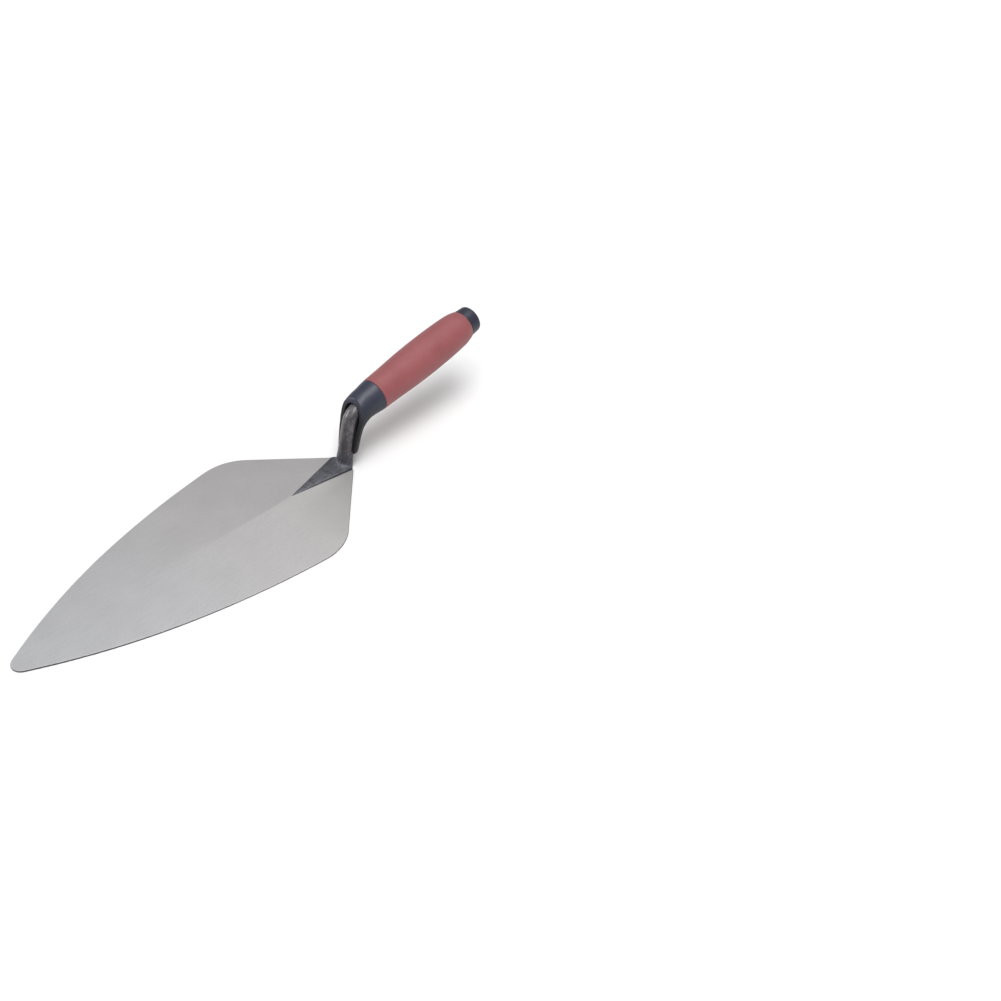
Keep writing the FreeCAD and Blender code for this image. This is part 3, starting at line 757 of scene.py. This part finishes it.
def red_grip():
    """Dusty red elastomer with a fine grain."""
    paint = Paint("red_soft_grip")
    cloud = paint.noise(22.0, 3.0, 0.55)
    base = paint.mix(paint.span(cloud, 0.3, 0.7), (0.272, 0.066, 0.072), (0.302, 0.077, 0.083))
    dust = paint.noise(5.0, 5.0, 0.7, distortion=0.4)
    base = paint.mix(paint.span(dust, 0.52, 0.78, 0.0, 0.30), base, (0.36, 0.155, 0.155))
    grain = paint.noise(0.4, 3.0, 0.6)
    base = paint.mix(paint.span(grain, 0.4, 0.75, 0.0, 0.25), base, (0.21, 0.055, 0.060))
    rough = paint.math("ADD", paint.span(dust, 0.3, 0.7, 0.62, 0.74),
                       paint.span(grain, 0.3, 0.7, -0.04, 0.06))
    normal = paint.bump(grain, 0.04, 0.6)
    return paint.finish(Base_Color=base, Roughness=rough, Normal=normal, Sheen_Weight=0.15,
                        Sheen_Roughness=0.5)


def core_plastic():
    """Plain grey moulding, hidden under the grip."""
    paint = Paint("core_plastic")
    cloud = paint.noise(6.0, 3.0, 0.6)
    base = paint.mix(cloud, (0.10, 0.10, 0.11), (0.17, 0.17, 0.18))
    rough = paint.span(cloud, 0.3, 0.7, 0.45, 0.6)
    normal = paint.bump(paint.noise(0.6, 3.0), 0.03, 0.5)
    return paint.finish(Base_Color=base, Roughness=rough, Normal=normal)


# ---------------------------------------------------------------- scene

def stage_material():
    """Matt white floor with a faint unevenness."""
    paint = Paint("floor_white")
    base = paint.mix(paint.noise(60.0, 2.0), (0.90, 0.90, 0.90), (0.92, 0.92, 0.92))
    return paint.finish(Base_Color=base, Roughness=0.9)


def make_stage():
    """Plain pale floor."""
    mesh = bpy.data.meshes.new("floor")
    size = FLOOR_HALF
    mesh.from_pydata([(-size, -size, 0), (size, -size, 0), (size, size, 0), (-size, size, 0)],
                     [], [(0, 1, 2, 3)])
    floor = bpy.data.objects.new("floor", mesh)
    bpy.context.scene.collection.objects.link(floor)
    mesh.materials.append(stage_material())


def lamp(name, kind, place, aim):
    """White light at a place, turned towards its aim."""
    holder = bpy.data.objects.new(name, bpy.data.lights.new(name, kind))
    bpy.context.scene.collection.objects.link(holder)
    holder.location = place
    holder.rotation_euler = (Vector(aim) - Vector(place)).to_track_quat("-Z", "Y").to_euler()
    return holder


def soft_box(name, place, aim, size, power):
    """Large round light that only shows as a highlight."""
    holder = lamp(name, "AREA", place, aim)
    holder.data.shape = "DISK"
    holder.data.size = size
    holder.data.energy = power
    holder.visible_diffuse = False


def make_world():
    """Studio sky: brighter overhead than at the horizon, plain white where it is seen."""
    world = bpy.data.worlds.new("studio")
    bpy.context.scene.world = world
    world.use_nodes = True
    tree = world.node_tree
    background = tree.nodes["Background"]
    coordinates = tree.nodes.new("ShaderNodeTexCoord")
    split = tree.nodes.new("ShaderNodeSeparateXYZ")
    ramp = tree.nodes.new("ShaderNodeValToRGB")
    tree.links.new(coordinates.outputs["Generated"], split.inputs[0])
    tree.links.new(split.outputs["Z"], ramp.inputs[0])
    tree.links.new(ramp.outputs[0], background.inputs["Color"])
    ramp.color_ramp.elements[0].color = (*HORIZON, 1)
    ramp.color_ramp.elements[1].position = ZENITH_HEIGHT
    ramp.color_ramp.elements[1].color = (1, 1, 1, 1)
    background.inputs["Strength"].default_value = SKY_STRENGTH
    backdrop = tree.nodes.new("ShaderNodeBackground")
    backdrop.inputs["Color"].default_value = (1, 1, 1, 1)
    seen = tree.nodes.new("ShaderNodeLightPath")
    choose = tree.nodes.new("ShaderNodeMixShader")
    tree.links.new(seen.outputs["Is Camera Ray"], choose.inputs[0])
    tree.links.new(background.outputs[0], choose.inputs[1])
    tree.links.new(backdrop.outputs[0], choose.inputs[2])
    tree.links.new(choose.outputs[0], tree.nodes["World Output"].inputs["Surface"])


def make_camera():
    """Camera that looks down on the trowel from beside the blade's tip."""
    data = bpy.data.cameras.new("camera")
    data.lens = CAMERA_LENS
    data.sensor_width = 36
    camera = bpy.data.objects.new("camera", data)
    bpy.context.scene.collection.objects.link(camera)
    camera.location = CAMERA_PLACE
    camera.rotation_euler = [math.radians(angle) for angle in CAMERA_TURN]
    bpy.context.scene.camera = camera


def dress(piece, node, material):
    """Gives a piece its material, hangs it under the root body and hides the CAD node that it
    stands for.
    """
    piece.data.materials.append(material)
    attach(piece, "root")
    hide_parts(node)


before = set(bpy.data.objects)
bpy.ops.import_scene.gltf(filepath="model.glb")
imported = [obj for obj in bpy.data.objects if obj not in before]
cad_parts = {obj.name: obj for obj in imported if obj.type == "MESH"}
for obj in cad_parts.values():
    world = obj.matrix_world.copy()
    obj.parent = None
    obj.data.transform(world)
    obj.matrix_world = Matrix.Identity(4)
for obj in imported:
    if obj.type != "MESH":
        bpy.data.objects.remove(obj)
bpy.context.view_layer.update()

plastic = black_plastic()
dress(make_blade(), "blade_forging", ground_steel())
dress(make_forging(), "blade_forging", forged_steel())
dress(make_guard(), "finger_guard", plastic)
dress(make_sleeve(), "grip_sleeve", red_grip())
dress(make_cap(), "end_cap", plastic)
core_material = core_plastic()
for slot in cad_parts["handle_core"].material_slots:
    slot.material = core_material

make_stage()
make_world()
make_camera()
for number, side in enumerate(KEY_SIDES):
    key = lamp("key_%d" % number, "SUN", (*side, 1.0), (0, 0, 0))
    key.data.angle = KEY_ANGLE
    key.data.energy = KEY_ENERGY
for box in SOFT_BOXES:
    soft_box(*box)
bpy.context.scene.view_settings.view_transform = "Standard"
